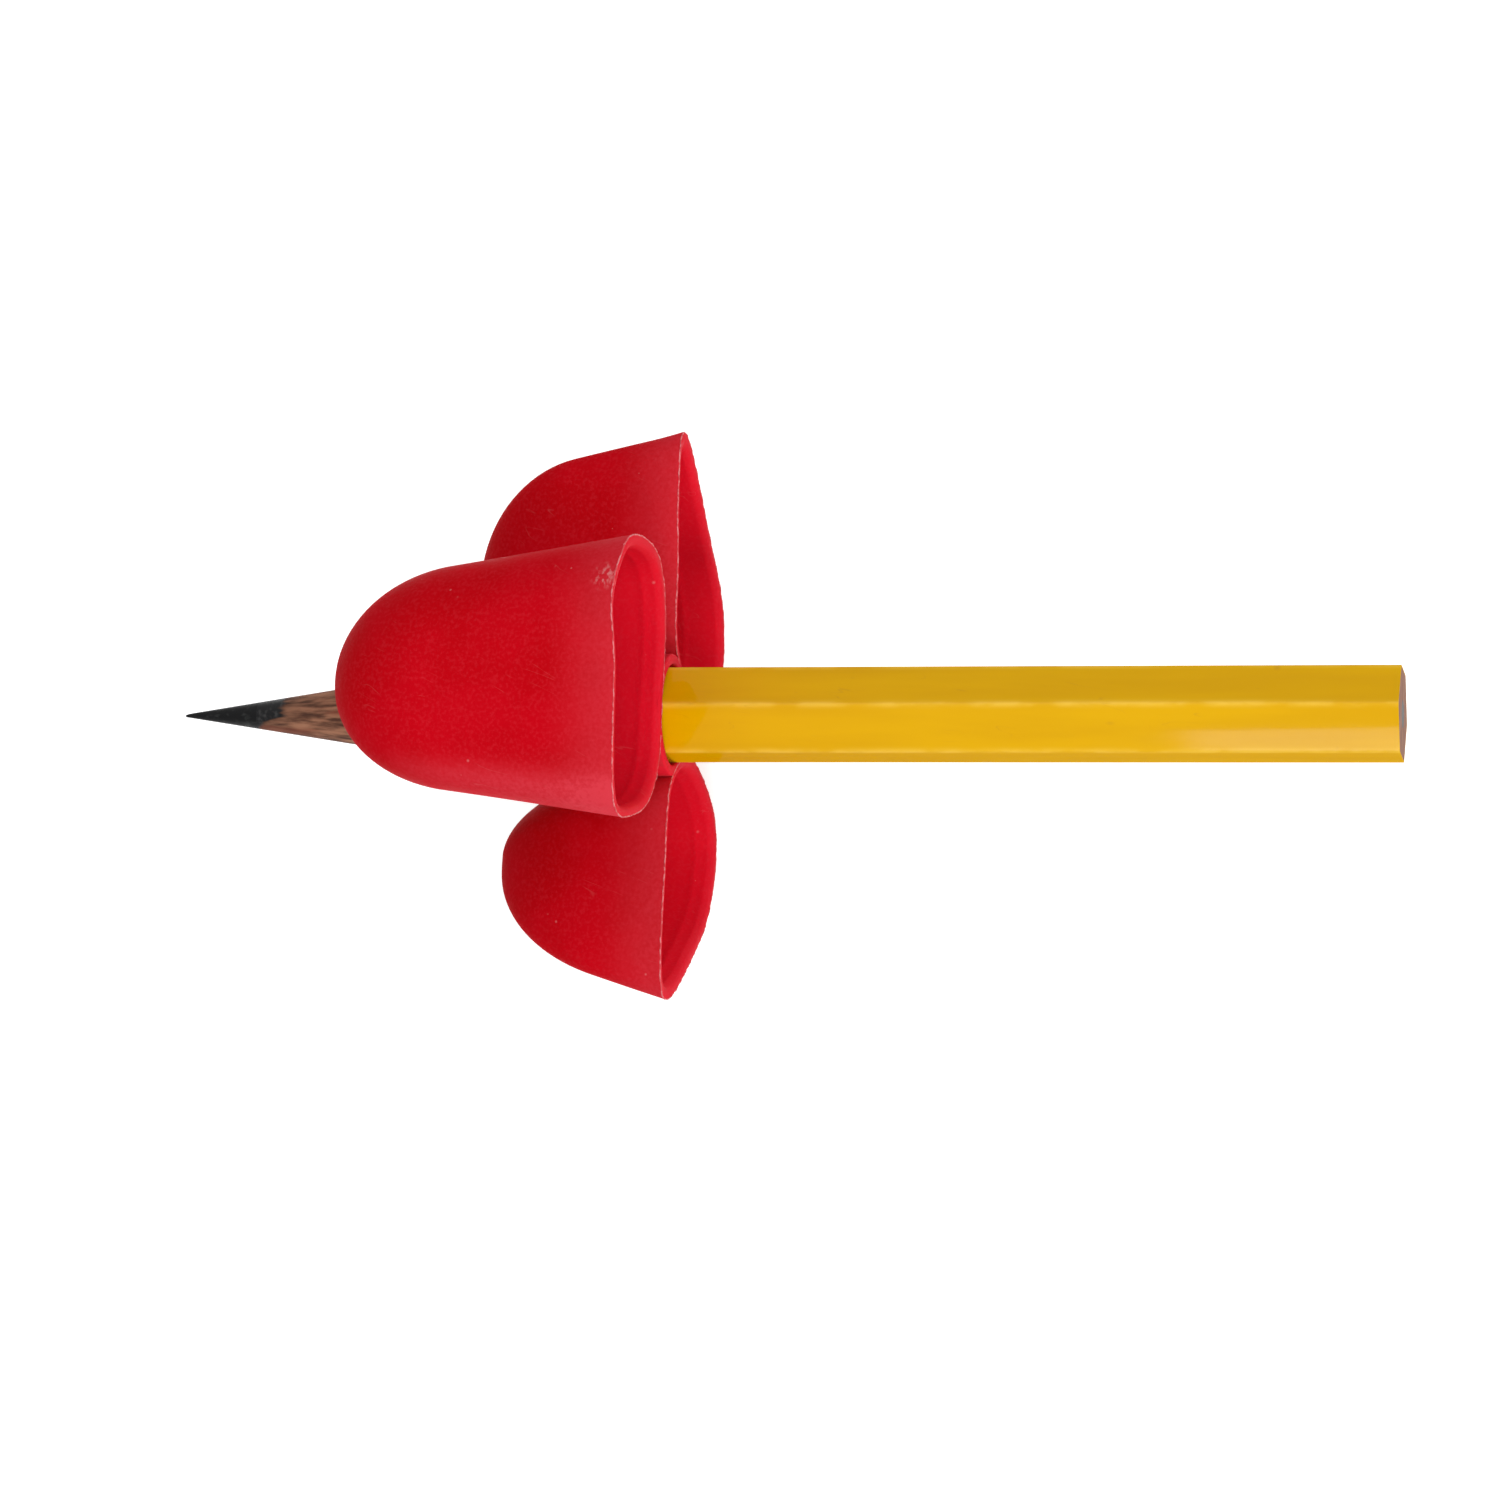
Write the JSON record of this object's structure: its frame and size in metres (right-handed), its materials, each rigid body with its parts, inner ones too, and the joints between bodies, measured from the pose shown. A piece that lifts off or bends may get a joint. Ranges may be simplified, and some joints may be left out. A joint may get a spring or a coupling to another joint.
{
  "type": "pencil grip",
  "caption": "Soft rubber pencil grip with domed fingertip cups round a central sleeve, seated on a sharpened hexagonal wood-cased pencil that slides through it.",
  "frame": {"origin": "centre of the pencil's sawn end, on the pencil's axis", "axes": "+X along the pencil from its point to its sawn end, +Z the way the longest cup points, +Y across the two shorter cups"},
  "size_m": [0.099, 0.0451, 0.0373],
  "materials": {
    "red_rubber": "matte moulded rubber",
    "graphite": "dark graphite, faint sheen",
    "casing_wood": "bare cut wood",
    "yellow_lacquer": "glossy lacquer"
  },
  "bodies": {
    "grip": {"grip_moulding": "red_rubber"},
    "pencil": {"lead_core": "graphite", "casing_slat_left": "casing_wood", "casing_slat_right": "casing_wood", "lacquer_coat": "yellow_lacquer"}
  },
  "joints": [
    {"name": "pencil_slide", "type": "slide", "parent": "grip", "child": "pencil", "axis": [1, 0, 0], "range_m": [-0.058, 0.011]}
  ]
}
